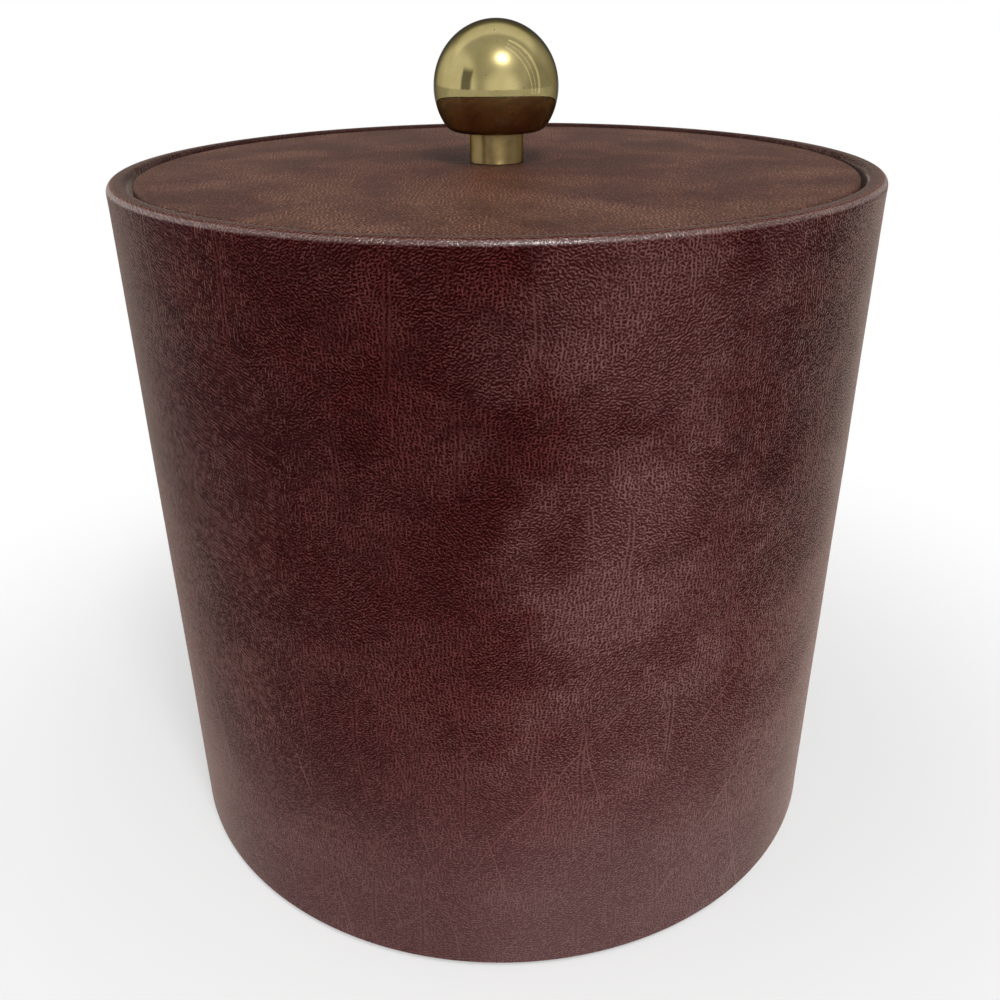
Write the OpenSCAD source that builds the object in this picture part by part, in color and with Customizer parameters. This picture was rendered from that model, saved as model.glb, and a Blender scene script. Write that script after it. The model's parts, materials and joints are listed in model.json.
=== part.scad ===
// Ice bucket: a straight drum covered in leathercloth, with a moulded liner and a lift-off lid.
// Millimetres, +Z up, origin at the centre of the base, on the surface that the bucket stands on.
// The lid is drawn on its seat. The seam of the drum's cover is at the back, toward +Y.

/* [Drum] */
// Outside diameter over the cover
body_d = 203; // [180:1:230]
// Height of the covered drum, without the pad under it
drum_h = 192.5; // [150:0.5:240]
// Wall of the board tube
tube_t = 3; // [2:0.1:5]
// Thickness of the leathercloth
cover_t = 0.9; // [0.5:0.1:1.4]
// Open width of the butt seam at the back
seam_gap = 0.3; // [0.2:0.1:1.5]
// Rounding of the rim's outer edge
rim_outer_round = 2; // [1.6:0.1:2.4]
// Rounding of the rim's inner edge
rim_inner_round = 1.7; // [1.6:0.1:2.4]
// Rounding of the drum's bottom edge
foot_round = 1; // [0.4:0.1:1.5]
// How far the cover is turned down inside the rim
turn_in = 20; // [14:0.5:40]
// How far the cover is turned under the base
turn_under = 20; // [10:0.5:30]

/* [Base] */
// Thickness of the board that closes the bottom
base_t = 4; // [2.5:0.1:8]
// Thickness of the felt pad under the base
pad_t = 1.2; // [0.8:0.1:3]
// How far the pad's edge lies inside the drum's outer edge
pad_inset = 9.5; // [5:0.5:20]

/* [Liner] */
// Wall of the moulded liner
liner_t = 2; // [1.4:0.1:3]
// Width of the ledge that carries the lid
ledge_w = 12.5; // [9:0.5:20]
// Rounding where the ledge turns down into the mouth
mouth_round = 1.2; // [0.5:0.1:1.3]
// Draft of the liner and of the lid's plug, in degrees
draft = 2.2; // [0.5:0.1:4]
// Rounding between the liner's wall and its floor, on the inside
floor_round = 14; // [4:0.5:24]
// Depth of the skirt that grips the turned-in cover
skirt_h = 10; // [5:0.5:20]
// Thickness of the foam under the liner
foam_base_t = 15; // [8:0.5:30]

/* [Lid] */
// Gap between the lid's edge and the rim
lid_gap = 1.3; // [0.6:0.1:3]
// How far the lid's edge lies below the rim
lid_drop = 0.7; // [0:0.1:3]
// Rise of the lid's crown, from its edge to its middle
crown = 1.1; // [0.2:0.1:4]
// How far the stem draws the padding down
dimple = 0.5; // [0.1:0.1:0.9]
// Width of the drawn-down ring round the stem
dimple_w = 14; // [8:1:30]
// Rounding of the lid's edges
lid_round = 1.2; // [1:0.1:2]
// Thickness of the padding under the lid's cover
lid_pad_t = 2; // [1:0.1:4]
// Thickness of the lid's board
lid_board_t = 4.8; // [3:0.1:9]
// How far the cover is turned under the lid's board
lid_turn = 15; // [8:0.5:20]

/* [Lid pan] */
// Wall of the moulded pan
pan_t = 1.8; // [1.2:0.1:2.6]
// How far the pan's flange lies inside the lid's edge
pan_inset = 2.7; // [1:0.1:5]
// Gap between the plug and the liner's mouth
plug_gap = 1.2; // [0.5:0.1:3]
// Depth of the plug below the ledge
plug_h = 13; // [10:0.5:30]
// Rounding between the plug's wall and its floor
plug_round = 5; // [3:0.5:8]
// Radius of the dish that the screw's head sinks into
dish_r = 13; // [9:0.5:20]
// Radius of the boss round the screw
boss_r = 5.5; // [4.5:0.5:8]

/* [Knob] */
// Diameter of the ball
knob_d = 33.2; // [31:0.2:42]
// Diameter of the flat under the ball
knob_flat_d = 21; // [19:0.5:22]
// Rounding between the flat and the ball
knob_edge_round = 4; // [2.5:0.5:4]
// Wall of the spun ball
shell_t = 1.2; // [0.8:0.1:1.6]
// Diameter of the stem
stem_d = 14.5; // [12:0.5:17]
// Height of the stem
stem_h = 8; // [4:0.5:14]
// Diameter of the core's spigot, in the hole under the ball
spigot_d = 9; // [8:0.5:11]
// Diameter of the core's flange, inside the ball
core_flange_d = 17; // [13:0.5:18]
// Thickness of the core's flange
core_flange_t = 1.8; // [1:0.1:3]
// Diameter of the core above its flange
core_d = 11; // [8:0.5:13]

/* [Screw] */
// Diameter of the screw
screw_d = 4.8; // [4:0.1:5.6]
// How far the screw reaches into the knob
screw_reach = 9; // [6:0.5:14]
// Diameter of the screw's head
head_d = 9; // [7.5:0.1:10]
// Height of the screw's head
head_h = 2.8; // [2:0.1:4]
// Width and depth of the slot in the head
slot_w = 1.2; // [0.8:0.1:1.4]
// Diameter of the washer
washer_d = 14; // [11:0.5:16]
// Thickness of the washer
washer_t = 1; // [0.6:0.1:1.6]

/* [Clearances] */
// Glue line between pieces that are stuck together
glue = 0.1; // [0.05:0.05:0.2]
// Gap between the foam and what is round it
foam_gap = 0.3; // [0.1:0.1:1]
// Gap between the liner's skirt and the turned-in cover
skirt_gap = 0.2; // [0.1:0.1:0.5]
// Gap round the screw in the pieces that it goes through
screw_gap = 0.4; // [0.2:0.1:0.6]
// Gap between the screw and the core's thread, and round the core's spigot
thread_gap = 0.1; // [0.05:0.05:0.2]

/* [Hidden] */
$fn = 128;
// Sides of the small rounded corners, chords in a quarter arc, and steps across the lid's crown
round_fn = 48;
arc_steps = 8;
crown_steps = 28;
// A cut runs past what it cuts by this much
over = 1;

vinyl_color = "#5a2b2e";
board_color = "#8c7458";
felt_color = "#26221f";
foam_color = "#f4f3ee";
liner_color = "#ebe5d3";
brass_color = "#b8a66a";
satin_brass_color = "#a8925a";
steel_color = "#a9abad";

// Drum: the wall is cover, glue, tube, glue and cover again
skin = cover_t + glue;
wall_w = tube_t + 2 * skin;
body_r = body_d / 2;
rim_r = body_r - wall_w;
tube_r = rim_r + skin;
rim_z = pad_t + drum_h;
base_low_z = pad_t + skin;
base_top_z = base_low_z + base_t;

// Lid: the stack goes down from the rim to the ledge that carries it
lid_r = rim_r - lid_gap;
lid_edge_z = rim_z - lid_drop;
board_top_z = lid_edge_z - skin - lid_pad_t - glue;
board_low_z = board_top_z - lid_board_t;
lid_low_z = board_low_z - skin;
flange_top_z = lid_low_z - glue;
ledge_z = flange_top_z - pan_t;

// Liner
mouth_r = rim_r - ledge_w;
mouth_z = ledge_z - mouth_round;
liner_low_z = base_top_z + foam_base_t;
skirt_r = rim_r - skirt_gap;
skirt_low_z = ledge_z - skirt_h;
sleeve_r = tube_r - foam_gap;
// The foam's shoulder lies under the skirt and under the turned-in cover
shoulder_z = min(skirt_low_z, rim_z - turn_in - foam_gap);

// Lid pan
flange_r = lid_r - pan_inset;
plug_r = mouth_r - plug_gap;
plug_low_z = ledge_z - plug_h;
dish_h = head_h + washer_t + pan_t / 2;
dish_z = plug_low_z + dish_h;

// Knob
hole_r = screw_d / 2 + screw_gap;
stem_r = stem_d / 2;
seat_r = stem_r + 0.5;
seat_z = lid_top(0);
knob_low_z = seat_z + stem_h;
knob_r = knob_d / 2;
flat_r = knob_flat_d / 2;
// The edge's rounding touches both the flat and the ball, which sets the height of the ball's centre
edge_z = knob_low_z + knob_edge_round;
knob_z = edge_z + sqrt(pow(knob_r - knob_edge_round, 2) - pow(flat_r, 2));
bore_h = screw_reach + 1.5;
core_h = bore_h + 2;

// Points of an arc about c, from one angle to another
function arc(c, r, from, to) =
    [for (i = [0:arc_steps]) let (a = from + (to - from) * i / arc_steps) c + r * [cos(a), sin(a)]];

// Depth of the drawn-down padding at radius r: whole under the stem, none past the ring
function dimple_depth(r) =
    r <= seat_r ? dimple :
    r >= seat_r + dimple_w ? 0 :
    dimple * (1 + cos(180 * (r - seat_r) / dimple_w)) / 2;

// Height of the lid's top at radius r
function lid_top(r) =
    let (crowned_r = max(r, seat_r))
    lid_edge_z + crown * (1 - pow(crowned_r / (lid_r - lid_round), 2)) - dimple_depth(crowned_r);

// Radius of the liner's inside at height z
function liner_wall(z) = mouth_r - max(mouth_z - z, 0) * tan(draft);

// Radius of the plug's outside at height z
function plug_wall(z) = plug_r - (ledge_z - z) * tan(draft);

// Half outline of a cup, up its outside from the axis: a flat floor, a rounded corner and a drafted wall
function cup_points(low_z, low_r, corner, top) =
    let (t = corner / tan((90 + draft) / 2))
    concat([[0, low_z]], arc([low_r - t, low_z + corner], corner, -90, -draft), [top]);

// What a rounding of radius r takes off a corner at the origin, with the solid toward -X and -Y
module corner_cut(r) {
    difference() {
        translate([-r, -r]) square(r + over);
        translate([-r, -r]) circle(r, $fn = round_fn);
    }
}

// Section of the drum's wall, shrunk by inset on every face
module wall_section(inset) {
    outer_round = min(rim_outer_round, wall_w / 2) - inset;
    inner_round = min(rim_inner_round, wall_w / 2) - inset;
    difference() {
        translate([rim_r + inset, pad_t + inset]) square([wall_w - 2 * inset, drum_h - 2 * inset]);
        translate([body_r - inset, rim_z - inset]) corner_cut(outer_round);
        translate([rim_r + inset, rim_z - inset]) mirror([1, 0]) corner_cut(inner_round);
        if (foot_round > inset)
            translate([body_r - inset, pad_t + inset]) mirror([0, 1]) corner_cut(foot_round - inset);
    }
}

// Outline of the wrapped lid, shrunk by inset on every face
module lid_section(inset) {
    low_z = lid_low_z + inset;
    side = lid_r - lid_round;
    r = lid_round - inset;
    step = (side - seat_r) / crown_steps;
    polygon(concat(
        [[0, low_z]],
        arc([side, low_z + r], r, -90, 0),
        arc([side, lid_edge_z - lid_round], r, 0, 90),
        [for (i = [1:crown_steps]) [side - i * step, lid_top(side - i * step) - inset]],
        [[0, seat_z - inset]]));
}

// Outline of the ball, shrunk by inset on every face
module ball_section(inset) {
    edge = [flat_r, edge_z];
    centre = [0, knob_z];
    past = 2 * knob_r * (edge - centre) / norm(edge - centre);
    intersection() {
        translate([0, knob_low_z]) square([knob_r, 2 * knob_r]);
        union() {
            difference() {
                translate(centre) circle(knob_r - inset);
                polygon([centre, centre + past, [flat_r, knob_low_z - knob_r], [0, knob_low_z - knob_r]]);
            }
            translate(edge) circle(knob_edge_round - inset, $fn = round_fn);
            polygon([centre, [0, knob_low_z + inset], [flat_r, knob_low_z + inset], edge]);
        }
    }
}

// A round hole on the axis, between two heights
module bore(r, low_z, top_z) {
    translate([0, 0, low_z - over]) cylinder(r = r, h = top_z - low_z + 2 * over);
}

module side_cover() {
    color(vinyl_color)
    difference() {
        rotate_extrude()
        difference() {
            union() {
                wall_section(0);
                translate([body_r - turn_under, pad_t]) square([turn_under - foot_round, cover_t]);
            }
            wall_section(cover_t);
            // The turned-in edge ends part of the way down the inside
            translate([rim_r - over, pad_t + cover_t])
                square([cover_t + 2 * glue + over, drum_h - turn_in - cover_t]);
        }
        translate([-seam_gap / 2, 0, 0]) cube([seam_gap, body_r + over, rim_z + over]);
    }
}

module drum_tube() {
    color(board_color)
    rotate_extrude() wall_section(skin);
}

module base_board() {
    color(board_color)
    translate([0, 0, base_low_z]) cylinder(r = tube_r - glue, h = base_t);
}

module base_card() {
    color(board_color)
    translate([0, 0, pad_t]) cylinder(r = body_r - turn_under - glue, h = cover_t);
}

module base_pad() {
    color(felt_color)
    cylinder(r = body_r - pad_inset, h = pad_t);
}

module foam_base() {
    color(foam_color)
    translate([0, 0, base_top_z]) cylinder(r = sleeve_r, h = foam_base_t);
}

module foam_sleeve() {
    gap = liner_t + foam_gap;
    neck_r = skirt_r - liner_t - foam_gap;
    neck_z = ledge_z - liner_t;
    color(foam_color)
    rotate_extrude()
    polygon([
        [liner_wall(liner_low_z) + gap, liner_low_z],
        [sleeve_r, liner_low_z],
        [sleeve_r, shoulder_z],
        [neck_r, shoulder_z],
        [neck_r, neck_z],
        [liner_wall(neck_z) + gap, neck_z],
    ]);
}

module liner() {
    floor_z = liner_low_z + liner_t;
    neck_z = ledge_z - liner_t;
    color(liner_color)
    rotate_extrude()
    difference() {
        polygon(concat(
            cup_points(liner_low_z, liner_wall(liner_low_z) + liner_t, floor_round + liner_t,
                [liner_wall(neck_z) + liner_t, neck_z]),
            [[skirt_r - liner_t, neck_z], [skirt_r - liner_t, skirt_low_z], [skirt_r, skirt_low_z],
                [skirt_r, ledge_z], [0, ledge_z]]));
        polygon(concat(
            cup_points(floor_z, liner_wall(floor_z), floor_round, [mouth_r, mouth_z]),
            [[mouth_r, ledge_z + over], [0, ledge_z + over]]));
        translate([mouth_r, ledge_z]) mirror([1, 0]) corner_cut(mouth_round);
    }
}

module lid_cover() {
    color(vinyl_color)
    difference() {
        rotate_extrude()
        difference() {
            lid_section(0);
            lid_section(cover_t);
            // The turned-under edge stops short of the middle
            translate([0, lid_low_z - over]) square([lid_r - lid_turn, cover_t + 2 * over]);
        }
        bore(hole_r, board_top_z, seat_z);
    }
}

// The space inside the lid's cover, between two heights
module lid_slice(low_z, top_z, r) {
    difference() {
        rotate_extrude()
        intersection() {
            lid_section(skin);
            translate([0, low_z]) square([r, top_z - low_z]);
        }
        bore(hole_r, low_z, top_z);
    }
}

module lid_pad() {
    color(foam_color) lid_slice(board_top_z + glue, rim_z + crown, lid_r - lid_round);
}

module lid_board() {
    color(board_color) lid_slice(board_low_z, board_top_z, lid_r);
}

module lid_pan() {
    floor_z = plug_low_z + pan_t;
    color(liner_color)
    rotate_extrude()
    difference() {
        union() {
            polygon(concat(
                cup_points(plug_low_z, plug_wall(plug_low_z), plug_round, [plug_r, ledge_z]),
                [[flange_r, ledge_z], [flange_r, flange_top_z], [0, flange_top_z]]));
            translate([0, dish_z]) square([boss_r, board_low_z - dish_z]);
        }
        difference() {
            polygon(concat(
                cup_points(floor_z, plug_wall(floor_z) - pan_t, plug_round - pan_t,
                    [plug_wall(flange_top_z) - pan_t, flange_top_z + over]),
                [[0, flange_top_z + over]]));
            // The wall of the dish, and the boss that stands on it
            translate([0, plug_low_z]) square([dish_r + pan_t, dish_h + pan_t]);
            translate([0, plug_low_z]) square([boss_r, board_low_z - plug_low_z]);
        }
        translate([0, plug_low_z - over]) square([dish_r, dish_h + over]);
        translate([0, plug_low_z - over]) square([hole_r, board_low_z - plug_low_z + 2 * over]);
    }
}

module lid_foam() {
    low_z = plug_low_z + pan_t;
    inset = pan_t + foam_gap;
    color(foam_color)
    rotate_extrude()
    difference() {
        polygon(concat(
            cup_points(low_z, plug_wall(low_z) - inset, plug_round - pan_t,
                [plug_wall(flange_top_z) - inset, flange_top_z]),
            [[0, flange_top_z]]));
        translate([0, low_z - over]) square([dish_r + inset, flange_top_z - low_z + 2 * over]);
    }
}

module knob_stem() {
    color(satin_brass_color)
    difference() {
        translate([0, 0, seat_z]) cylinder(r = stem_r, h = stem_h);
        bore(hole_r, seat_z, knob_low_z);
    }
}

module knob_shell() {
    color(brass_color)
    difference() {
        rotate_extrude()
        difference() {
            ball_section(0);
            ball_section(shell_t);
        }
        translate([0, 0, knob_low_z - over]) cylinder(d = spigot_d, h = shell_t + 2 * over);
    }
}

module knob_core() {
    color(steel_color)
    difference() {
        union() {
            translate([0, 0, knob_low_z]) cylinder(d = spigot_d - 2 * thread_gap, h = core_h);
            translate([0, 0, knob_low_z + shell_t]) cylinder(d = core_flange_d, h = core_flange_t);
            translate([0, 0, knob_low_z + shell_t]) cylinder(d = core_d, h = core_h - shell_t);
        }
        translate([0, 0, knob_low_z - over]) cylinder(r = screw_d / 2 + thread_gap, h = bore_h + over);
    }
}

module knob_screw() {
    head_z = dish_z - washer_t - head_h;
    color(steel_color)
    difference() {
        union() {
            translate([0, 0, head_z]) cylinder(d = head_d, h = head_h);
            translate([0, 0, head_z]) cylinder(d = screw_d, h = knob_low_z + screw_reach - head_z);
        }
        translate([-head_d, -slot_w / 2, head_z - over]) cube([2 * head_d, slot_w, slot_w + over]);
    }
}

module screw_washer() {
    color(steel_color)
    difference() {
        translate([0, 0, dish_z - washer_t]) cylinder(d = washer_d, h = washer_t);
        bore(hole_r, dish_z - washer_t, dish_z);
    }
}

side_cover();
drum_tube();
base_board();
base_card();
base_pad();
foam_base();
foam_sleeve();
liner();
lid_cover();
lid_pad();
lid_board();
lid_pan();
lid_foam();
knob_stem();
knob_shell();
knob_core();
knob_screw();
screw_washer();
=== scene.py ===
"""Ice bucket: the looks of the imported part, as pieces and finishes built round the fixed frame."""
import json
import math

import bmesh
import bpy
import numpy as np
from mathutils import Matrix, Vector, noise


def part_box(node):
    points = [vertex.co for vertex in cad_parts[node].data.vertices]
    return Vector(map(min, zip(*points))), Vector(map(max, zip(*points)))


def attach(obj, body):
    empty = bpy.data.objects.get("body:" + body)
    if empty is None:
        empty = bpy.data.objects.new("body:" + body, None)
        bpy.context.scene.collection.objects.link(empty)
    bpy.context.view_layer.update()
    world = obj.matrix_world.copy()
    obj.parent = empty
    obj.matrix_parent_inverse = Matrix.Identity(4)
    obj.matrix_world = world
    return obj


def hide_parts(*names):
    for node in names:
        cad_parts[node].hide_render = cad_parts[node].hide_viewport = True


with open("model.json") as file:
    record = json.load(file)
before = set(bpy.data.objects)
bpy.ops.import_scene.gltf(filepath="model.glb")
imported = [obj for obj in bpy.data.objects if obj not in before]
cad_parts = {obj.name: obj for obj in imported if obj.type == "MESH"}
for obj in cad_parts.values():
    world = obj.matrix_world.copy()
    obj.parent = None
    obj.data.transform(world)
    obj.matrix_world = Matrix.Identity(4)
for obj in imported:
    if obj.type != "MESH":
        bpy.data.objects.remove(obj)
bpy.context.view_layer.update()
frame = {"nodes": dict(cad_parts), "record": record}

MM = 0.001
TAU = 2 * math.pi

# ---------------------------------------------------------------- sizes, as in the part's source

COVER_T = 0.9 * MM
GLUE = 0.1 * MM
WALL_W = 5.0 * MM
RIM_OUTER_ROUND = 2.0 * MM
RIM_INNER_ROUND = 1.7 * MM
FOOT_ROUND = 1.0 * MM
TURN_IN = 20.0 * MM
TURN_UNDER = 20.0 * MM
SEAM_GAP = 0.3 * MM
LID_DROP = 0.7 * MM
CROWN = 1.1 * MM
DIMPLE = 0.5 * MM
DIMPLE_W = 14.0 * MM
LID_ROUND = 1.2 * MM
LID_TURN = 15.0 * MM
KNOB_EDGE_ROUND = 4.0 * MM
KNOB_FLAT_R = 10.5 * MM
SHELL_T = 1.2 * MM
SCREW_HOLE_R = 2.8 * MM
SPIGOT_R = 4.5 * MM

drum_low, drum_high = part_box("side_cover")
lid_low, lid_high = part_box("lid_cover")
stem_low, stem_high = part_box("knob_stem")
ball_low, ball_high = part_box("knob_shell")
felt_low, felt_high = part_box("base_pad")
BODY_R = drum_high.x
RIM_Z = drum_high.z
FOOT_Z = drum_low.z
RIM_R = BODY_R - WALL_W
LID_R = lid_high.x
LID_EDGE_Z = RIM_Z - LID_DROP
LID_LOW_Z = lid_low.z
STEM_R = stem_high.x
SEAT_R = STEM_R + 0.5 * MM
SEAT_Z = stem_low.z
BALL_R = ball_high.x
BALL_LOW_Z = ball_low.z
BALL_Z = ball_high.z - BALL_R

# ---------------------------------------------------------------- sizes that only the looks have

OUTER_SKIN = 0.5 * MM
HOLLOW_DEPTH = 0.14 * MM
HOLLOW_SIZE = 34 * MM
LIP_W = 2.4 * MM
LIP_DEPTH = 0.4 * MM
GATHER_ZONE = 0.3 * MM
DRUM_GATHERS = 23
DRUM_GATHER_DEPTH = 0.4 * MM
LID_GATHERS = 21
LID_GATHER_DEPTH = 0.35 * MM
LID_HOLLOW_DEPTH = 0.16 * MM
LID_HOLLOW_SIZE = 26 * MM
PUCKERS = 17
PUCKER_DEPTH = 0.08 * MM
PUCKER_W = 5 * MM
PADDING_ROUND = 1.0 * MM
STEM_CHAMFER = 0.25 * MM
FELT_CHAMFER = 0.3 * MM
FELT_WOBBLE = 0.35 * MM
SHARP_ANGLE = math.radians(40)


# ---------------------------------------------------------------- shapes

def arc(centre, radius, start, end, steps):
    """Points of an arc, between two angles in degrees."""
    angles = np.radians(np.linspace(start, end, steps + 1))
    return [(centre[0] + radius * math.cos(a), centre[1] + radius * math.sin(a)) for a in angles]


def line(start, end, steps):
    """Points of a straight line, without its two ends."""
    shares = [i / steps for i in range(1, steps)]
    return [(start[0] + (end[0] - start[0]) * s, start[1] + (end[1] - start[1]) * s) for s in shares]


def revolve(name, outline, turns, move=None, wrap_r=None, seam=0.0, closed=True):
    """A solid turned about Z from its half section, with UVs in metres.

    With wrap_r the UVs unroll the surface at that radius, and without it they lie flat, spread from the
    middle out. With a seam, that width is left open at the back. An outline that isn't closed starts and
    ends on the axis."""
    outline = np.array(outline)
    count = len(outline)
    half_seam = seam / 2 / BODY_R
    back = math.pi / 2
    angles = back + np.linspace(half_seam, TAU - half_seam, turns + 1)
    if not seam:
        angles = angles[:-1]
    rings = len(angles)
    verts = []
    for a in angles:
        for r, z in outline:
            if move is not None:
                r, z = move(r, z, a)
            verts.append((r * math.cos(a), r * math.sin(a), z))
    steps = np.linalg.norm(np.diff(np.vstack([outline, outline[:1]]), axis=0), axis=1)
    run = np.concatenate([[0], np.cumsum(steps)])
    middle = outline[:, 0].min()
    ends = np.flatnonzero(outline[:, 0] < middle + 1e-9)
    spread = middle + np.abs(run[:-1, None] - run[ends][None]).min(axis=1)
    faces, uvs = [], []
    spans = rings if not seam else rings - 1
    for j in range(spans):
        k = (j + 1) % rings
        for i in range(count if closed else count - 1):
            m = (i + 1) % count
            face = (j * count + i, k * count + i, k * count + m, j * count + m)
            faces.append(face)
            if wrap_r:
                u0 = wrap_r * TAU * j / spans
                u1 = wrap_r * TAU * (j + 1) / spans
                uvs += [(u0, run[i]), (u1, run[i]), (u1, run[i + 1]), (u0, run[i + 1])]
            else:
                for ring, n in ((j, i), (k, i), (k, m), (j, m)):
                    a = angles[ring]
                    uvs.append((spread[n] * math.cos(a), spread[n] * math.sin(a)))
    if seam:
        for j in (0, rings - 1):
            face = [j * count + i for i in range(count)]
            faces.append(face)
            uvs += [(0, run[i]) for i in range(count)]
    mesh = bpy.data.meshes.new(name)
    mesh.from_pydata(verts, [], faces)
    layer = mesh.uv_layers.new(name="UVMap")
    layer.data.foreach_set("uv", np.array(uvs, np.float32).ravel())
    solid = bmesh.new()
    solid.from_mesh(mesh)
    bmesh.ops.remove_doubles(solid, verts=solid.verts, dist=1e-7)
    bmesh.ops.recalc_face_normals(solid, faces=solid.faces)
    solid.to_mesh(mesh)
    solid.free()
    for polygon in mesh.polygons:
        polygon.use_smooth = True
    mesh.set_sharp_from_angle(angle=SHARP_ANGLE)
    piece = bpy.data.objects.new(name, mesh)
    bpy.context.scene.collection.objects.link(piece)
    return piece


def dress(piece, body, slot, material, *nodes):
    """Puts a piece on its body in place of CAD nodes, with its finish."""
    piece.data.materials.append(material)
    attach(piece, body)
    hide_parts(*nodes)


def wave(x, y, z, size):
    """A smooth, repeatable unevenness from 0 to 1, whose swells are about that size."""
    return 0.5 + 0.5 * max(-1.0, min(1.0, 1.6 * noise.noise(Vector((x, y, z)) / size)))


# ---------------------------------------------------------------- finishes

class Nodes:
    """A short way to add nodes to one shader tree."""

    def __init__(self, tree):
        self.tree = tree

    def node(self, kind, settings=None, inputs=None):
        """A new node with these settings, each input linked to a socket or set to a value."""
        made = self.tree.nodes.new(kind)
        for key, value in (settings or {}).items():
            setattr(made, key, value)
        for key, value in (inputs or {}).items():
            if isinstance(value, bpy.types.NodeSocket):
                self.tree.links.new(value, made.inputs[key])
            elif value is not None:
                made.inputs[key].default_value = value
        return made

    def math(self, operation, a, b=None, c=None):
        return self.node("ShaderNodeMath", {"operation": operation}, {0: a, 1: b, 2: c}).outputs[0]

    def product(self, *values):
        result = values[0]
        for value in values[1:]:
            result = self.math("MULTIPLY", result, value)
        return result

    def inverse(self, share):
        """What is left of 1."""
        return self.math("SUBTRACT", 1.0, share)

    def span(self, value, low, high, to_low=0.0, to_high=1.0):
        """The value's stretch from low to high, spread smoothly over another stretch."""
        inputs = {"Value": value, "From Min": low, "From Max": high, "To Min": to_low, "To Max": to_high}
        return self.node("ShaderNodeMapRange", {"interpolation_type": "SMOOTHSTEP"}, inputs).outputs[0]

    def vector_math(self, operation, a, b=None):
        return self.node("ShaderNodeVectorMath", {"operation": operation}, {0: a, 1: b})

    def scaled(self, vector, factors):
        """The vector times three factors, or all of it times one."""
        factors = factors if isinstance(factors, tuple) else (factors,) * 3
        return self.vector_math("MULTIPLY", vector, factors).outputs[0]

    def length(self, vector):
        return self.vector_math("LENGTH", vector).outputs["Value"]

    def along(self, vector, direction):
        """How far the vector reaches along the direction."""
        return self.vector_math("DOT_PRODUCT", vector, direction).outputs["Value"]

    def part(self, vector, axis):
        return self.node("ShaderNodeSeparateXYZ", None, {0: vector}).outputs[axis]

    def rays(self, *kinds):
        """1 for the rays of these kinds, and 0 for the rest."""
        path = self.node("ShaderNodeLightPath")
        most = path.outputs[f"Is {kinds[0]} Ray"]
        for kind in kinds[1:]:
            most = self.math("MAXIMUM", most, path.outputs[f"Is {kind} Ray"])
        return most


class Finish(Nodes):
    """One material, with the patterns that the finishes are made of."""

    def __init__(self, name):
        self.material = bpy.data.materials.new(name)
        self.material.use_nodes = True
        super().__init__(self.material.node_tree)
        self.tree.nodes.clear()
        self.uv = self.node("ShaderNodeUVMap", {"uv_map": "UVMap"}).outputs[0]
        self.place = self.node("ShaderNodeTexCoord").outputs["Object"]

    def noise(self, vector, detail=2.0, rough=0.5, colour=False):
        inputs = {"Vector": vector, "Scale": 1.0, "Detail": detail, "Roughness": rough}
        return self.node("ShaderNodeTexNoise", None, inputs).outputs[1 if colour else 0]

    def warp(self, vector, size, amount):
        """The vector, pushed about by swells of that size."""
        swell = self.noise(self.scaled(vector, 1 / size), colour=True)
        centred = self.vector_math("SUBTRACT", swell, (0.5, 0.5, 0.5)).outputs[0]
        return self.vector_math("ADD", vector, self.scaled(centred, amount)).outputs[0]

    def mix(self, share, a, b):
        """Colour a, giving way to colour b as the share goes from 0 to 1."""
        return self.node("ShaderNodeMix", {"data_type": "RGBA"}, {0: share, 6: a, 7: b}).outputs[2]

    def creases(self, vector, width):
        """Thin wandering lines, 1 on the line."""
        off = self.math("SUBTRACT", self.noise(vector, 1.0, 0.4), 0.5)
        return self.span(self.math("ABSOLUTE", off), 0.0, width, 1.0, 0.0)

    def edges(self, value):
        """Distance to the nearest border between cells scattered along one number."""
        settings = {"voronoi_dimensions": "1D", "feature": "DISTANCE_TO_EDGE"}
        return self.node("ShaderNodeTexVoronoi", settings, {"W": value, "Scale": 1.0}).outputs["Distance"]

    def maze(self, vector, pitch, waves, order, lean=0.0):
        """A maze of ridges that far apart, from 0 to 1.

        Order 1 runs them all one way, and lean turns that way."""
        inputs = {
            "Vector": vector,
            "Scale": 1 / (pitch * waves),
            "Frequency": waves,
            "Anisotropy": order,
            "Orientation": lean,
        }
        made = self.node("ShaderNodeTexGabor", {"gabor_type": "2D"})
        for key, value in inputs.items():
            socket = [x for x in made.inputs if x.name == key and x.enabled][0]
            if isinstance(value, bpy.types.NodeSocket):
                self.tree.links.new(value, socket)
            else:
                socket.default_value = value
        return made.outputs["Value"]

    def bump(self, height, depth, strength=1.0):
        inputs = {"Height": height, "Distance": depth, "Strength": strength}
        return self.node("ShaderNodeBump", None, inputs).outputs[0]

    def surface(self, **sockets):
        """Ends the material in one Principled shader with these sockets."""
        inputs = {key.replace("_", " "): value for key, value in sockets.items()}
        shader = self.node("ShaderNodeBsdfPrincipled", None, inputs)
        self.finish_with(shader)
        return self.material

    def finish_with(self, shader):
        """Makes that shader node the material's surface."""
        out = self.node("ShaderNodeOutputMaterial")
        self.tree.links.new(shader.outputs[0], out.inputs[0])


def rgb(red, green, blue):
    """An sRGB colour from 0 to 255, as the linear colour that a shader takes."""
    def linear(c):
        c /= 255
        return c / 12.92 if c <= 0.04045 else ((c + 0.055) / 1.055) ** 2.4
    return (linear(red), linear(green), linear(blue), 1.0)


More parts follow.
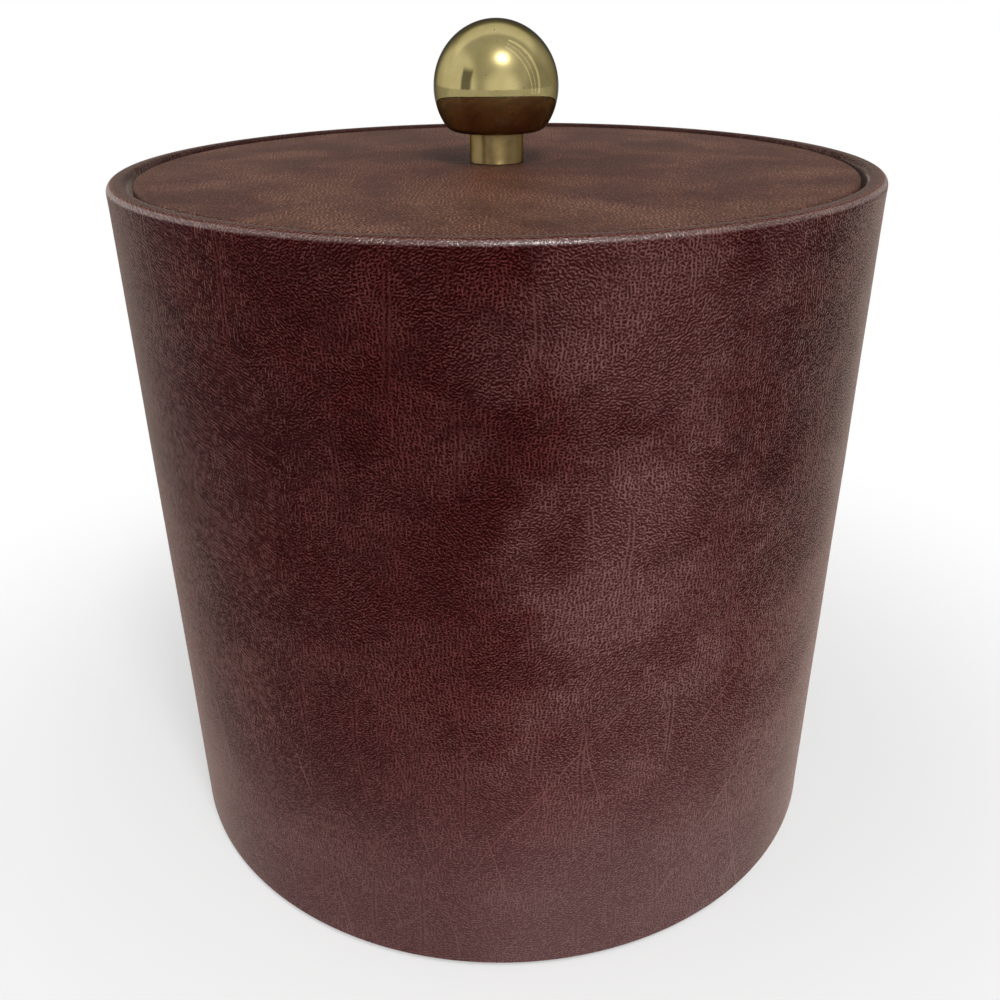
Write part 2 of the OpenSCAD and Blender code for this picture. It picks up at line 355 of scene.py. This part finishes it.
def grain(f, mm, spacing, pulled=0.0):
    """A net of thin wavy ridges that far apart in mm, mostly across and in places upright: 1 on a ridge.

    Where pulled is 1, slanting wrinkles run over it."""
    bent = f.warp(f.warp(mm, 7.0, 1.2), 0.8, 0.34)
    swing = f.noise(f.scaled(mm, (1 / 40, 1 / 34, 1)), 1.0)
    lean = f.span(swing, 0.30, 0.70, math.radians(62), math.radians(118))
    across = f.maze(bent, spacing, 1.25, 0.5, lean)
    upright = f.maze(bent, 1.2 * spacing, 1.5, 0.9, 0.0)
    held_back = f.span(f.noise(f.scaled(mm, (1 / 24, 1 / 20, 1)), 1.0), 0.40, 0.60, 0.0, 0.13)
    slanting = f.maze(bent, 1.2 * spacing, 2.0, 0.95, math.radians(71))
    slanting = f.math("SUBTRACT", slanting, f.math("MULTIPLY_ADD", pulled, -0.5, 0.5))
    net = f.math("MAXIMUM", across, f.math("SUBTRACT", upright, held_back))
    net = f.math("SUBTRACT", net, f.product(pulled, 0.06))
    return f.span(f.math("MAXIMUM", net, slanting), 0.44, 0.72)


def crease_pairs(f, mm, net):
    """The net with long upright creases over it: a dark line between two thin ridges, in broken lengths."""
    wander = f.part(f.warp(f.warp(mm, 40.0, 7.0), 2.5, 0.7), "X")
    apart = f.product(f.edges(f.product(wander, 1 / 13)), 13.0)
    kept = f.span(f.noise(f.scaled(mm, (1 / 12, 1 / 26, 1)), 1.0), 0.50, 0.62)
    frayed = f.span(f.noise(f.scaled(mm, (0.8, 0.5, 1)), 2.0), 0.28, 0.50, 0.2, 0.65)
    groove = f.product(f.span(apart, 0.05, 0.35, 0.55, 0.0), kept)
    off = f.math("ABSOLUTE", f.math("SUBTRACT", apart, 0.58))
    pair = f.product(f.span(off, 0.10, 0.28, 1.0, 0.0), kept, frayed)
    return f.math("MAXIMUM", f.product(net, f.inverse(groove)), pair)


def scratches(f, mm, slant, spacing):
    """Long fine broken scratches at that slant in degrees, about that far apart in mm: 1 on a scratch."""
    swayed = f.warp(mm, 40.0, 6.0)
    across = f.product(f.part(swayed, "X"), math.sin(math.radians(slant)) / spacing)
    across = f.math("MULTIPLY_ADD", f.part(swayed, "Y"), math.cos(math.radians(slant)) / spacing, across)
    lines = f.span(f.product(f.edges(across), spacing), 0.04, 0.22, 1.0, 0.0)
    return f.product(lines, f.span(f.noise(f.scaled(mm, 1 / 22), 1.0), 0.50, 0.58))


def facing(f, azimuth):
    """How far the drum's side turns to a direction, 1 at most. Azimuth 0 is the front, and 90 is +X."""
    a = math.radians(azimuth)
    return f.along(f.place, Vector((math.sin(a), -math.cos(a), 0)) / BODY_R)


def drum_leathercloth():
    """Embossed leathercloth, pale ridges on a dark ground, with painted light on the right side, a painted
    reflection of the floor on the lower wall and foot, painted shade inside the rim, and a paler rim.
    """
    f = Finish("drum_leathercloth")
    mm = f.scaled(f.uv, 1 / MM)
    height = f.product(f.part(f.place, "Z"), 1 / MM)
    rim_mm = RIM_Z / MM
    patches = f.product(f.noise(f.scaled(mm, (1 / 30, 1 / 45, 1)), 1.0), 0.5)
    pulled = f.span(f.math("ADD", facing(f, -60), patches), 1.02, 1.20)
    pulled = f.product(pulled, f.span(height, 30.0, 80.0))
    relief = crease_pairs(f, mm, grain(f, mm, 0.74, pulled))
    # painted reflection of the bright floor: low and foot make the lower wall and the foot paler and
    # pinker, and the share on the next line keeps less of it towards the front-left, a painted shade on
    # that side
    painted_floor_light_share = f.span(facing(f, -28), 0.80, 0.98, 1.0, 0.4)
    low = f.product(f.span(height, 165.0, 50.0), painted_floor_light_share)
    foot = f.product(f.span(height, 90.0, 0.0), f.math("MULTIPLY_ADD", painted_floor_light_share, 0.7, 0.3))
    out = f.length(f.scaled(f.place, (1 / MM, 1 / MM, 0)))
    outer = f.span(out, BODY_R / MM - 2.2, BODY_R / MM - 1.4)
    # painted shade: inward of the outer round, over the rim top and down the inner wall, the colours are
    # darker, as in shade under the rim
    inside = f.product(f.inverse(outer), f.span(height, rim_mm - 8.0, rim_mm - 4.0))
    rim = f.span(height, rim_mm - 1.6, rim_mm - 0.6)
    marks = f.math("MAXIMUM", scratches(f, mm, 78.0, 17.0), scratches(f, mm, 128.0, 26.0))
    relief = f.math("MAXIMUM", relief, f.product(marks, f.span(height, 110.0, 60.0)))

    cloud = f.span(f.noise(f.scaled(f.warp(mm, 50.0, 25.0), 1 / 30), 3.0, 0.65), 0.36, 0.64)
    smoke = f.span(f.noise(f.scaled(f.warp(mm, 30.0, 14.0), (1 / 20, 1 / 16, 1)), 3.0, 0.65), 0.42, 0.68)
    # painted light: the right-hand side turns paler and greyer, as if lit by the lamps on the right, and
    # less so near the top
    painted_light = f.span(f.math("MULTIPLY_ADD", cloud, 0.06, facing(f, 20)), 0.95, 1.06)
    painted_light = f.product(painted_light, f.span(height, 190.0, 125.0, 0.6, 1.0))

    # ridge and valley colours: the lower wall, the foot and the right side take painted light, and inside
    # takes painted shade
    ridge = f.mix(cloud, rgb(90, 38, 38), rgb(90, 48, 47))
    ridge = f.mix(f.product(smoke, 0.8), ridge, rgb(66, 31, 31))
    ridge = f.mix(low, ridge, rgb(124, 72, 71))
    ridge = f.mix(painted_light, ridge, rgb(129, 92, 90))
    ridge = f.mix(foot, ridge, rgb(124, 95, 94))
    ridge = f.mix(rim, ridge, rgb(112, 70, 58))
    ridge = f.mix(inside, ridge, rgb(78, 50, 45))
    valley = f.mix(cloud, rgb(33, 0, 0), rgb(37, 3, 3))
    valley = f.mix(low, valley, rgb(54, 10, 10))
    valley = f.mix(painted_light, valley, rgb(64, 27, 27))
    valley = f.mix(foot, valley, rgb(94, 62, 62))
    valley = f.mix(rim, valley, rgb(66, 30, 24))
    valley = f.mix(inside, valley, rgb(44, 22, 20))

    below_top = f.span(height, rim_mm - 0.15, rim_mm - 0.45)
    rim_round = f.product(f.span(height, rim_mm - 1.5, rim_mm - 0.9), below_top, outer)
    shine = f.product(rim_round, f.span(relief, 0.0, 1.0, 0.6, 1.0))
    worn = f.noise(f.scaled(mm, 0.5), 2.0)
    normal = f.bump(f.math("MULTIPLY_ADD", worn, 0.5, relief), 0.10 * MM)
    return f.surface(
        Base_Color=f.mix(relief, valley, ridge),
        Roughness=f.span(relief, 0.0, 1.0, 0.6, 0.42),
        Specular_IOR_Level=0.03,
        Coat_Weight=shine,
        Coat_Roughness=0.28,
        Coat_IOR=2.0,
        Coat_Normal=normal,
        Sheen_Weight=0.48,
        Sheen_Roughness=0.25,
        Sheen_Tint=rgb(255, 231, 214),
        Normal=normal,
    )


def lid_leathercloth():
    """The same leathercloth on the lid, with painted light that turns it browner and paler towards the
    edge, leaving it darker and redder round the stem.
    """
    f = Finish("lid_leathercloth")
    mm = f.scaled(f.uv, 1 / MM)
    relief = grain(f, mm, 0.82)
    # painted light: paler, browner colours towards the lid's edge, and none round the stem, which stays
    # darker and redder
    painted_light = f.span(f.length(f.warp(mm, 30.0, 18.0)), 14.0, 78.0)
    cloud = f.span(f.noise(f.scaled(f.warp(mm, 40.0, 20.0), 1 / 22), 3.0, 0.6), 0.40, 0.66, 0.0, 0.8)
    ridge = f.mix(painted_light, rgb(116, 64, 44), rgb(142, 98, 78))
    valley = f.mix(painted_light, rgb(40, 11, 5), rgb(50, 19, 11))
    ridge = f.mix(cloud, ridge, rgb(104, 58, 44))
    valley = f.mix(cloud, valley, rgb(40, 12, 7))
    normal = f.bump(relief, 0.20 * MM)
    return f.surface(
        Base_Color=f.mix(relief, valley, ridge),
        Roughness=f.span(relief, 0.0, 1.0, 0.6, 0.4),
        Specular_IOR_Level=0.03,
        Coat_Weight=0.18,
        Coat_Roughness=0.33,
        Coat_Normal=normal,
        Sheen_Weight=0.1,
        Sheen_Roughness=0.3,
        Sheen_Tint=rgb(255, 222, 200),
        Normal=normal,
    )


def polished_brass():
    """Mirror brass under old lacquer: faint haze, fine hairlines and a few specks."""
    f = Finish("polished_brass")
    mm = f.scaled(f.place, 1 / MM)
    haze = f.span(f.noise(f.scaled(mm, 0.16), 3.0, 0.6), 0.35, 0.7)
    hair = f.creases(f.scaled(f.warp(mm, 8.0, 3.0), (0.4, 0.4, 4.0)), 0.02)
    speck = f.span(f.noise(f.scaled(mm, 1.3), 1.0), 0.74, 0.8)
    colour = f.mix(haze, rgb(186, 172, 120), rgb(176, 161, 109))
    colour = f.mix(speck, colour, rgb(120, 100, 60))
    rough = f.math("ADD", f.span(haze, 0.0, 1.0, 0.03, 0.07), f.product(hair, 0.05))
    return f.surface(
        Base_Color=colour,
        Metallic=1.0,
        Roughness=rough,
        Specular_Tint=rgb(150, 150, 158),
        Normal=f.bump(hair, 0.002 * MM, 0.4),
    )


def satin_brass():
    """Turned brass: fine rings round the stem spread each reflection into an upright streak."""
    f = Finish("satin_brass")
    mm = f.scaled(f.place, 1 / MM)
    haze = f.span(f.noise(f.scaled(mm, 0.3), 2.0), 0.35, 0.7)
    rings = f.noise(f.scaled(mm, (0.02, 0.02, 9.0)), 1.0, 0.5)
    return f.surface(
        Base_Color=f.mix(haze, rgb(192, 170, 118), rgb(174, 151, 100)),
        Metallic=1.0,
        Roughness=f.math("MULTIPLY_ADD", rings, 0.03, 0.33),
        Specular_Tint=rgb(150, 140, 120),
        Anisotropic=0.9,
        Anisotropic_Rotation=0.25,
    )


def felt():
    """Pressed black-brown felt, with matted fibres."""
    f = Finish("felt")
    mm = f.scaled(f.place, 1 / MM)
    fibre = f.creases(f.scaled(f.warp(mm, 2.0, 2.0), 0.9), 0.12)
    mat = f.noise(f.scaled(mm, 0.25), 4.0, 0.7)
    colour = f.mix(f.product(fibre, mat), rgb(30, 26, 24), rgb(74, 66, 60))
    return f.surface(
        Base_Color=colour,
        Roughness=0.95,
        Sheen_Weight=0.3,
        Sheen_Roughness=0.5,
        Normal=f.bump(f.math("ADD", fibre, mat), 0.2 * MM),
    )


def moulded_plastic():
    """Cream moulded polystyrene: faint flow marks and a few fine scratches in a soft gloss."""
    f = Finish("moulded_plastic")
    mm = f.scaled(f.place, 1 / MM)
    flow = f.noise(f.scaled(f.warp(mm, 30.0, 12.0), (0.03, 0.03, 0.09)), 2.0)
    scratch = f.creases(f.scaled(f.warp(mm, 25.0, 20.0), (0.05, 0.05, 0.3)), 0.006)
    colour = f.mix(flow, rgb(236, 231, 217), rgb(230, 224, 207))
    rough = f.math("ADD", f.span(flow, 0.3, 0.7, 0.27, 0.33), f.product(scratch, 0.2))
    return f.surface(Base_Color=colour, Roughness=rough, Normal=f.bump(flow, 0.02 * MM, 0.3))


def foam(name, bead_size):
    """Foam: beads or cells of about that size in mm, with fine seams between them."""
    f = Finish(name)
    inputs = {"Vector": f.scaled(f.place, 1 / (bead_size * MM)), "Scale": 1.0}
    beads = f.node("ShaderNodeTexVoronoi", {"feature": "DISTANCE_TO_EDGE"}, inputs)
    bead = f.span(beads.outputs[0], 0.0, 0.12)
    colour = f.mix(bead, rgb(214, 213, 206), rgb(243, 242, 236))
    return f.surface(Base_Color=colour, Roughness=0.8, Normal=f.bump(bead, 0.05 * bead_size * MM))


def fibreboard():
    """Grey-brown fibreboard with flecks of fibre."""
    f = Finish("fibreboard")
    mm = f.scaled(f.place, 1 / MM)
    fleck = f.noise(f.scaled(f.warp(mm, 4.0, 4.0), (0.5, 0.5, 1.6)), 4.0, 0.7)
    colour = f.mix(f.span(fleck, 0.3, 0.7), rgb(128, 104, 76), rgb(164, 138, 106))
    return f.surface(Base_Color=colour, Roughness=0.9, Normal=f.bump(fleck, 0.1 * MM))


def steel():
    """Zinc-plated steel with turning marks."""
    f = Finish("steel")
    mm = f.scaled(f.place, 1 / MM)
    marks = f.noise(f.scaled(mm, (0.6, 0.6, 8.0)), 3.0, 0.6)
    colour = f.mix(marks, rgb(150, 152, 156), rgb(186, 188, 190))
    rough = f.span(marks, 0.3, 0.7, 0.25, 0.4)
    return f.surface(Base_Color=colour, Metallic=1.0, Roughness=rough, Normal=f.bump(marks, 0.01 * MM))


# ---------------------------------------------------------------- the drum's cover

def drum_cover_outline():
    """The cover's section: under the base, up the wall, over the rim and down its inside, and back."""
    def turned(inset):
        rim_out = RIM_OUTER_ROUND - inset
        rim_in = RIM_INNER_ROUND - inset
        foot = max(FOOT_ROUND - inset, 0.05 * MM)
        low = (BODY_R - foot - inset, FOOT_Z + foot + inset)
        high = (BODY_R - rim_out - inset, RIM_Z - rim_out - inset)
        inner = (RIM_R + rim_in + inset, RIM_Z - rim_in - inset)
        under = (BODY_R - TURN_UNDER, FOOT_Z + inset)
        down = (RIM_R + inset, RIM_Z - TURN_IN)
        points = [under, *line(under, (low[0], under[1]), 10)]
        points += arc(low, foot, -90, 0, 5)
        points += line((BODY_R - inset, low[1]), (BODY_R - inset, high[1]), 60)
        points += arc(high, rim_out, 0, 90, 10)
        points += arc(inner, rim_in, 90, 180, 8)
        points += [*line((down[0], inner[1]), down, 8), down]
        return points
    return turned(0.0) + turned(COVER_T)[::-1]


def drum_move(r, z, a):
    """Slight hollows in the wall, lips that dip into the seam, and gathers under the base."""
    x, y = math.cos(a) * BODY_R, math.sin(a) * BODY_R
    outside = BODY_R - OUTER_SKIN
    edge_margin = 3 * MM
    if r > outside and FOOT_Z + edge_margin < z < RIM_Z - edge_margin:
        r -= HOLLOW_DEPTH * wave(x, y, z, HOLLOW_SIZE)
    from_seam = abs((a + math.pi / 2) % TAU - math.pi) * BODY_R
    if from_seam < LIP_W and r > outside:
        r -= LIP_DEPTH * (1 - from_seam / LIP_W) ** 2
    if z < FOOT_Z + GATHER_ZONE and r < BODY_R - FOOT_ROUND:
        share = (BODY_R - FOOT_ROUND - r) / TURN_UNDER
        share *= min(1.0, (FOOT_Z + GATHER_ZONE - z) / GATHER_ZONE)
        pleat = abs(math.sin(DRUM_GATHERS * a + 0.6 * math.sin(5 * a)))
        z += DRUM_GATHER_DEPTH * share * (1 - pleat) ** 2
    return r, z


drum_cover = revolve("drum_leathercloth", drum_cover_outline(), 480, drum_move, BODY_R, SEAM_GAP)
dress(drum_cover, "bucket", "leathercloth", drum_leathercloth(), "side_cover")


# ---------------------------------------------------------------- the lid's cover and padding

def lid_top(r):
    """Height of the lid's top at radius r: a shallow crown, drawn down round the stem."""
    crowned = max(r, SEAT_R)
    rise = CROWN * (1 - (crowned / (LID_R - LID_ROUND)) ** 2)
    past = min(1.0, (crowned - SEAT_R) / DIMPLE_W)
    drawn = DIMPLE * (1 + math.cos(math.pi * past)) / 2
    return LID_EDGE_Z + rise - drawn


def lid_cover_outline():
    """The cover's section: from under the board, round the edge, over the crown to the stem, and back."""
    side = LID_R - LID_ROUND

    def wrapped(inset):
        r = LID_ROUND - inset
        under = (LID_R - LID_TURN, LID_LOW_Z + inset)
        points = [under, *line(under, (side, under[1]), 10)]
        points += arc((side, LID_LOW_Z + LID_ROUND), r, -90, 0, 6)
        points += line((side + r, LID_LOW_Z + LID_ROUND), (side + r, LID_EDGE_Z - LID_ROUND), 4)
        points += arc((side, LID_EDGE_Z - LID_ROUND), r, 0, 90, 6)
        radii = np.linspace(side, SEAT_R, 70)[1:]
        points += [(x, lid_top(x) - inset) for x in radii]
        points += [(SCREW_HOLE_R, SEAT_Z - inset)]
        return points
    return wrapped(0.0) + wrapped(COVER_T)[::-1]


def lid_move(r, z, a):
    """Soft hollows over the padding, and gathers where the cover is turned under the board."""
    x, y = r * math.cos(a), r * math.sin(a)
    if z > LID_EDGE_Z - LID_ROUND and r > SEAT_R:
        from_stem = min(1.0, (r - SEAT_R) / (6 * MM))
        from_edge = min(1.0, (LID_R - r) / (4 * MM))
        share = from_stem * from_edge
        z -= LID_HOLLOW_DEPTH * share * wave(x, y, 0, LID_HOLLOW_SIZE)
        fold = 0.5 + 0.5 * math.sin(PUCKERS * a + 2 * math.sin(3 * a))
        z -= PUCKER_DEPTH * share * fold * math.exp(-((r - SEAT_R) / PUCKER_W) ** 2)
    if z < LID_LOW_Z + GATHER_ZONE and r < LID_R - LID_ROUND:
        share = (LID_R - LID_ROUND - r) / LID_TURN + 0.15
        pleat = abs(math.sin(LID_GATHERS * a + 0.5 * math.sin(4 * a)))
        z += LID_GATHER_DEPTH * share * (1 - pleat) ** 2
    return r, z


lid_cover = revolve("lid_leathercloth", lid_cover_outline(), 360, lid_move)
dress(lid_cover, "lid", "leathercloth", lid_leathercloth(), "lid_cover")


def lid_padding_outline():
    """The padding's section: flat on the board, with a rounded edge and a crowned top under the cover."""
    low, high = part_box("lid_pad")
    side = high.x - PADDING_ROUND
    top = lid_top(side) - COVER_T - GLUE
    points = [(SCREW_HOLE_R, low.z), *line((SCREW_HOLE_R, low.z), (side, low.z), 30), (side, low.z)]
    points += [(high.x - 0.3 * MM, low.z + 0.3 * MM), (high.x, low.z + 0.8 * MM)]
    points += arc((side, top - PADDING_ROUND), PADDING_ROUND, 0, 90, 6)
    radii = np.linspace(side, SCREW_HOLE_R, 60)[1:]
    points += [(r, lid_top(r) - COVER_T - GLUE) for r in radii]
    return points


lid_padding = revolve("lid_padding", lid_padding_outline(), 180, lid_move)
dress(lid_padding, "lid", "foam", foam("padding_foam", 0.9), "lid_pad")


# ---------------------------------------------------------------- the knob

def ball_outline():
    """The spun ball's section: up from the hole, round the flat's edge, over the top, and back inside."""
    edge = (KNOB_FLAT_R, BALL_LOW_Z + KNOB_EDGE_ROUND)
    lean = math.degrees(math.atan2(edge[1] - BALL_Z, edge[0]))

    def spun(inset):
        points = [(SPIGOT_R, BALL_LOW_Z + inset), (KNOB_FLAT_R - 1 * MM, BALL_LOW_Z + inset)]
        points += arc(edge, KNOB_EDGE_ROUND - inset, -90, lean, 16)
        points += arc((0, BALL_Z), BALL_R - inset, lean, 90, 64)[1:]
        return points
    return spun(0.0) + spun(SHELL_T)[::-1]


ball = revolve("knob_ball", ball_outline(), 192)
dress(ball, "lid", "polished_brass", polished_brass(), "knob_shell")


def stem_outline():
    """The stem's section: a tube with a small chamfer at each end."""
    cut = STEM_CHAMFER
    return [
        (SCREW_HOLE_R, stem_low.z), (STEM_R - cut, stem_low.z), (STEM_R, stem_low.z + cut),
        *line((STEM_R, stem_low.z + cut), (STEM_R, stem_high.z - cut), 6),
        (STEM_R, stem_high.z - cut), (STEM_R - cut, stem_high.z), (SCREW_HOLE_R, stem_high.z),
    ]


stem = revolve("knob_spacer", stem_outline(), 128)
dress(stem, "lid", "satin_brass", satin_brass(), "knob_stem")


# ---------------------------------------------------------------- the felt beneath

def felt_outline():
    """The felt's section, from the middle of its underside round its edge to the middle of its top."""
    r, low, high = felt_high.x, felt_low.z, felt_high.z
    cut = FELT_CHAMFER
    under = [(0, low), *line((0, low), (r - cut, low), 24), (r - cut, low)]
    edge = [(r, low + cut), (r, high - cut), (r - cut, high)]
    return under + edge + [*line((r - cut, high), (0, high), 24), (0, high)]


def felt_move(r, z, a):
    """A hand-cut edge, a little uneven."""
    band = 4 * MM
    near_edge = max(0.0, (r - felt_high.x + band) / band)
    return r - FELT_WOBBLE * near_edge * wave(r * math.cos(a), r * math.sin(a), 0, 12 * MM), z


felt_pad = revolve("base_felt", felt_outline(), 240, felt_move, closed=False)
dress(felt_pad, "bucket", "felt", felt(), "base_pad")


# ---------------------------------------------------------------- the rest of the CAD nodes

BY_SLOT = {
    "fibreboard": fibreboard(),
    "foam": foam("bead_foam", 2.9),
    "moulded_plastic": moulded_plastic(),
    "steel": steel(),
}
for row in frame["record"]["subparts"]:
    node = frame["nodes"][row["node"]]
    if row["material_slot"] in BY_SLOT:
        node.data.materials.clear()
        node.data.materials.append(BY_SLOT[row["material_slot"]])


# ---------------------------------------------------------------- floor, world, lights and camera

FLOOR_HALF = 8.0
AMBIENT = 0.33

# Directions in the room that bright metal mirrors: +X is right, and +Y is away from the camera.
TO_FRONT = (0.21, -0.98, 0.0)
TO_KEY = (0.179, -0.585, 0.791)
TO_DOOR = (-0.839, -0.545, 0.0)
ACROSS_DOOR = (0.545, -0.839, 0.0)

# The key has a soft glow round it, and the window is three strips, as if through a curtain.
LIGHT_FIELDS = ("name", "azimuth", "elevation", "distance", "size", "radiance", "shift", "mirrored")
LIGHTS = (
    ("key", 17, 56, 0.9, (0.13, 0.13), 66.0, 0.0, True),
    ("key_glow", 17, 56, 0.91, (0.5, 0.5), 2.85, 0.0, False),
    ("left_wall", -97, 28, 1.1, (1.9, 1.7), 0.42, 0.0, False),
    ("right_window", 80, 34, 1.1, (0.04, 1.9), 0.5, -0.27, True),
    ("right_window", 80, 34, 1.1, (0.03, 1.9), 0.5, -0.10, True),
    ("right_window", 80, 34, 1.1, (0.10, 1.9), 0.5, 0.10, True),
    ("front_fill", -3, 12, 1.3, (1.0, 0.8), 0.95, 0.0, False),
    ("left_fill", -70, 15, 1.3, (1.0, 0.8), 0.2, 0.0, False),
    ("right_fill", 36, 20, 1.3, (1.0, 0.8), 0.14, 0.0, False),
)


def make_floor():
    """A pale floor that keeps the shadow near the object and fades to plain white away from it.

    Mirrored rays see it dimmer, and dimmest at the back."""
    mesh = bpy.data.meshes.new("floor")
    corners = [(x * FLOOR_HALF, y * FLOOR_HALF, 0) for x, y in ((-1, -1), (1, -1), (1, 1), (-1, 1))]
    mesh.from_pydata(corners, [], [(0, 1, 2, 3)])
    floor = bpy.data.objects.new("floor", mesh)
    bpy.context.scene.collection.objects.link(floor)
    f = Finish("floor")
    away = f.span(f.length(f.place), 0.10, 0.30, 0.45, 1.0)
    fade = f.product(away, f.rays("Camera", "Glossy", "Transmission"))
    tone = f.mix(f.noise(f.scaled(f.place, 6.0), 3.0), (0.88, 0.88, 0.88, 1), (0.9, 0.9, 0.9, 1))
    matt = f.node("ShaderNodeBsdfDiffuse", None, {"Color": tone})
    dimmer = f.product(f.span(f.part(f.place, "Y"), 0.10, 0.60, 0.32, 0.45), f.rays("Glossy"))
    white = f.node("ShaderNodeEmission", None, {"Color": (1, 1, 1, 1), "Strength": f.inverse(dimmer)})
    both = f.node("ShaderNodeMixShader", None, {0: fade, 1: matt.outputs[0], 2: white.outputs[0]})
    f.finish_with(both)
    mesh.materials.append(f.material)


def mirrored_room(w, way):
    """How bright the mirrored room is: lit in front, dim behind, with a pale left wall and a dark door."""
    right = w.part(way, "X")
    back = w.part(way, "Y")
    up = w.part(way, "Z")

    front = w.span(w.along(way, TO_FRONT), 0.76, 0.98, 0.60, 1.15)
    ceiling_edge = w.product(w.span(back, 0.12, 0.30, 0.0, 0.42), w.span(up, 0.50, 0.75))
    behind = w.span(w.math("MULTIPLY_ADD", up, -0.45, back), 0.28, 0.52, 0.0, 0.55)
    dim = w.product(behind, w.span(w.math("ABSOLUTE", right), 0.3, 0.6, 1.0, 0.2))
    room = w.product(w.math("ADD", front, ceiling_edge), w.inverse(dim))

    near_key = w.math("MAXIMUM", w.along(way, TO_KEY), 0.0)
    halo = w.product(w.math("POWER", near_key, 90.0), 5.0)
    wide_halo = w.product(w.math("POWER", near_key, 20.0), 1.2)
    room = w.math("ADD", room, w.math("ADD", halo, wide_halo))

    left_wall = w.product(w.span(right, -0.50, -0.72, 0.0, 0.40), w.span(back, 0.7, 0.95, 1.0, 0.0))
    room = w.math("ADD", room, w.product(left_wall, w.span(up, 0.85, 0.6)))

    door_width = w.span(w.math("ABSOLUTE", w.along(way, ACROSS_DOOR)), 0.13, 0.22, 0.75, 0.0)
    door_height = w.span(up, 0.40, 0.56, 1.0, 0.0)
    door = w.product(door_width, w.span(w.along(way, TO_DOOR), 0.3, 0.5), door_height)
    right_side = w.span(right, 0.78, 0.95, 0.0, 0.3)
    return w.product(room, w.math("SUBTRACT", w.inverse(door), right_side))


def make_world():
    """White to the camera, a soft even sky to matt surfaces, and the room to mirrored rays."""
    world = bpy.data.worlds.new("studio")
    bpy.context.scene.world = world
    world.use_nodes = True
    w = Nodes(world.node_tree)
    way = w.node("ShaderNodeTexCoord").outputs["Generated"]
    camera = w.rays("Camera")
    mirrored = w.rays("Glossy", "Transmission")
    rest = w.math("SUBTRACT", w.inverse(camera), mirrored)
    strength = w.math("ADD", camera, w.product(mirrored, mirrored_room(w, way)))
    strength = w.math("ADD", strength, w.product(rest, AMBIENT))
    background = w.tree.nodes["Background"]
    w.tree.links.new(strength, background.inputs["Strength"])
    background.inputs["Color"].default_value = (1, 1, 1, 1)


def add_light(name, azimuth, elevation, distance, size, radiance, shift, mirrored):
    """An area light that looks at the drum from a direction: azimuth 0 is the camera's side, and 90 is +X.

    Equal sides make a disc. Radiance 1 is a white as bright as the backdrop, and shift moves the light
    sideways along its own width. A light that isn't mirrored shows in no reflection."""
    target = Vector((0, 0, RIM_Z * 0.6))
    a = math.radians(azimuth)
    e = math.radians(elevation)
    back = Vector((math.sin(a) * math.cos(e), -math.cos(a) * math.cos(e), math.sin(e)))
    is_disc = size[0] == size[1]
    data = bpy.data.lights.new(name, "AREA")
    data.shape = "DISK" if is_disc else "RECTANGLE"
    data.size, data.size_y = size
    area = size[0] * size[1] * (math.pi / 4 if is_disc else 1.0)
    data.energy = radiance * math.pi * area
    lamp = bpy.data.objects.new(name, data)
    turn = back.to_track_quat("Z", "Y")
    lamp.location = target + back * distance + turn @ Vector((shift, 0, 0))
    lamp.rotation_euler = turn.to_euler()
    lamp.visible_glossy = mirrored
    bpy.context.scene.collection.objects.link(lamp)


def make_camera():
    """The photographer's place: near the bucket, just above the lid, looking down at the drum."""
    lens = 36.0
    sensor = 36.0
    distance = 286.7 * MM
    height = 232.3 * MM
    pitch = math.radians(26.38)
    roll = math.radians(-0.545)
    forward = Vector((0, math.cos(pitch), -math.sin(pitch)))
    right = forward.cross(Vector((0, 0, 1))).normalized()
    up = right.cross(forward)
    tilted_right = math.cos(roll) * right + math.sin(roll) * up
    tilted_up = -math.sin(roll) * right + math.cos(roll) * up
    data = bpy.data.cameras.new("camera")
    data.lens = lens
    data.sensor_width = sensor
    data.clip_start = 0.01
    camera = bpy.data.objects.new("camera", data)
    axes = Matrix((tilted_right, tilted_up, -forward)).transposed()
    camera.matrix_world = Matrix.Translation((0, -distance, height)) @ axes.to_4x4()
    bpy.context.scene.collection.objects.link(camera)
    bpy.context.scene.camera = camera


make_floor()
make_world()
for row in LIGHTS:
    add_light(**dict(zip(LIGHT_FIELDS, row)))
make_camera()

bpy.context.scene.view_settings.view_transform = "Standard"
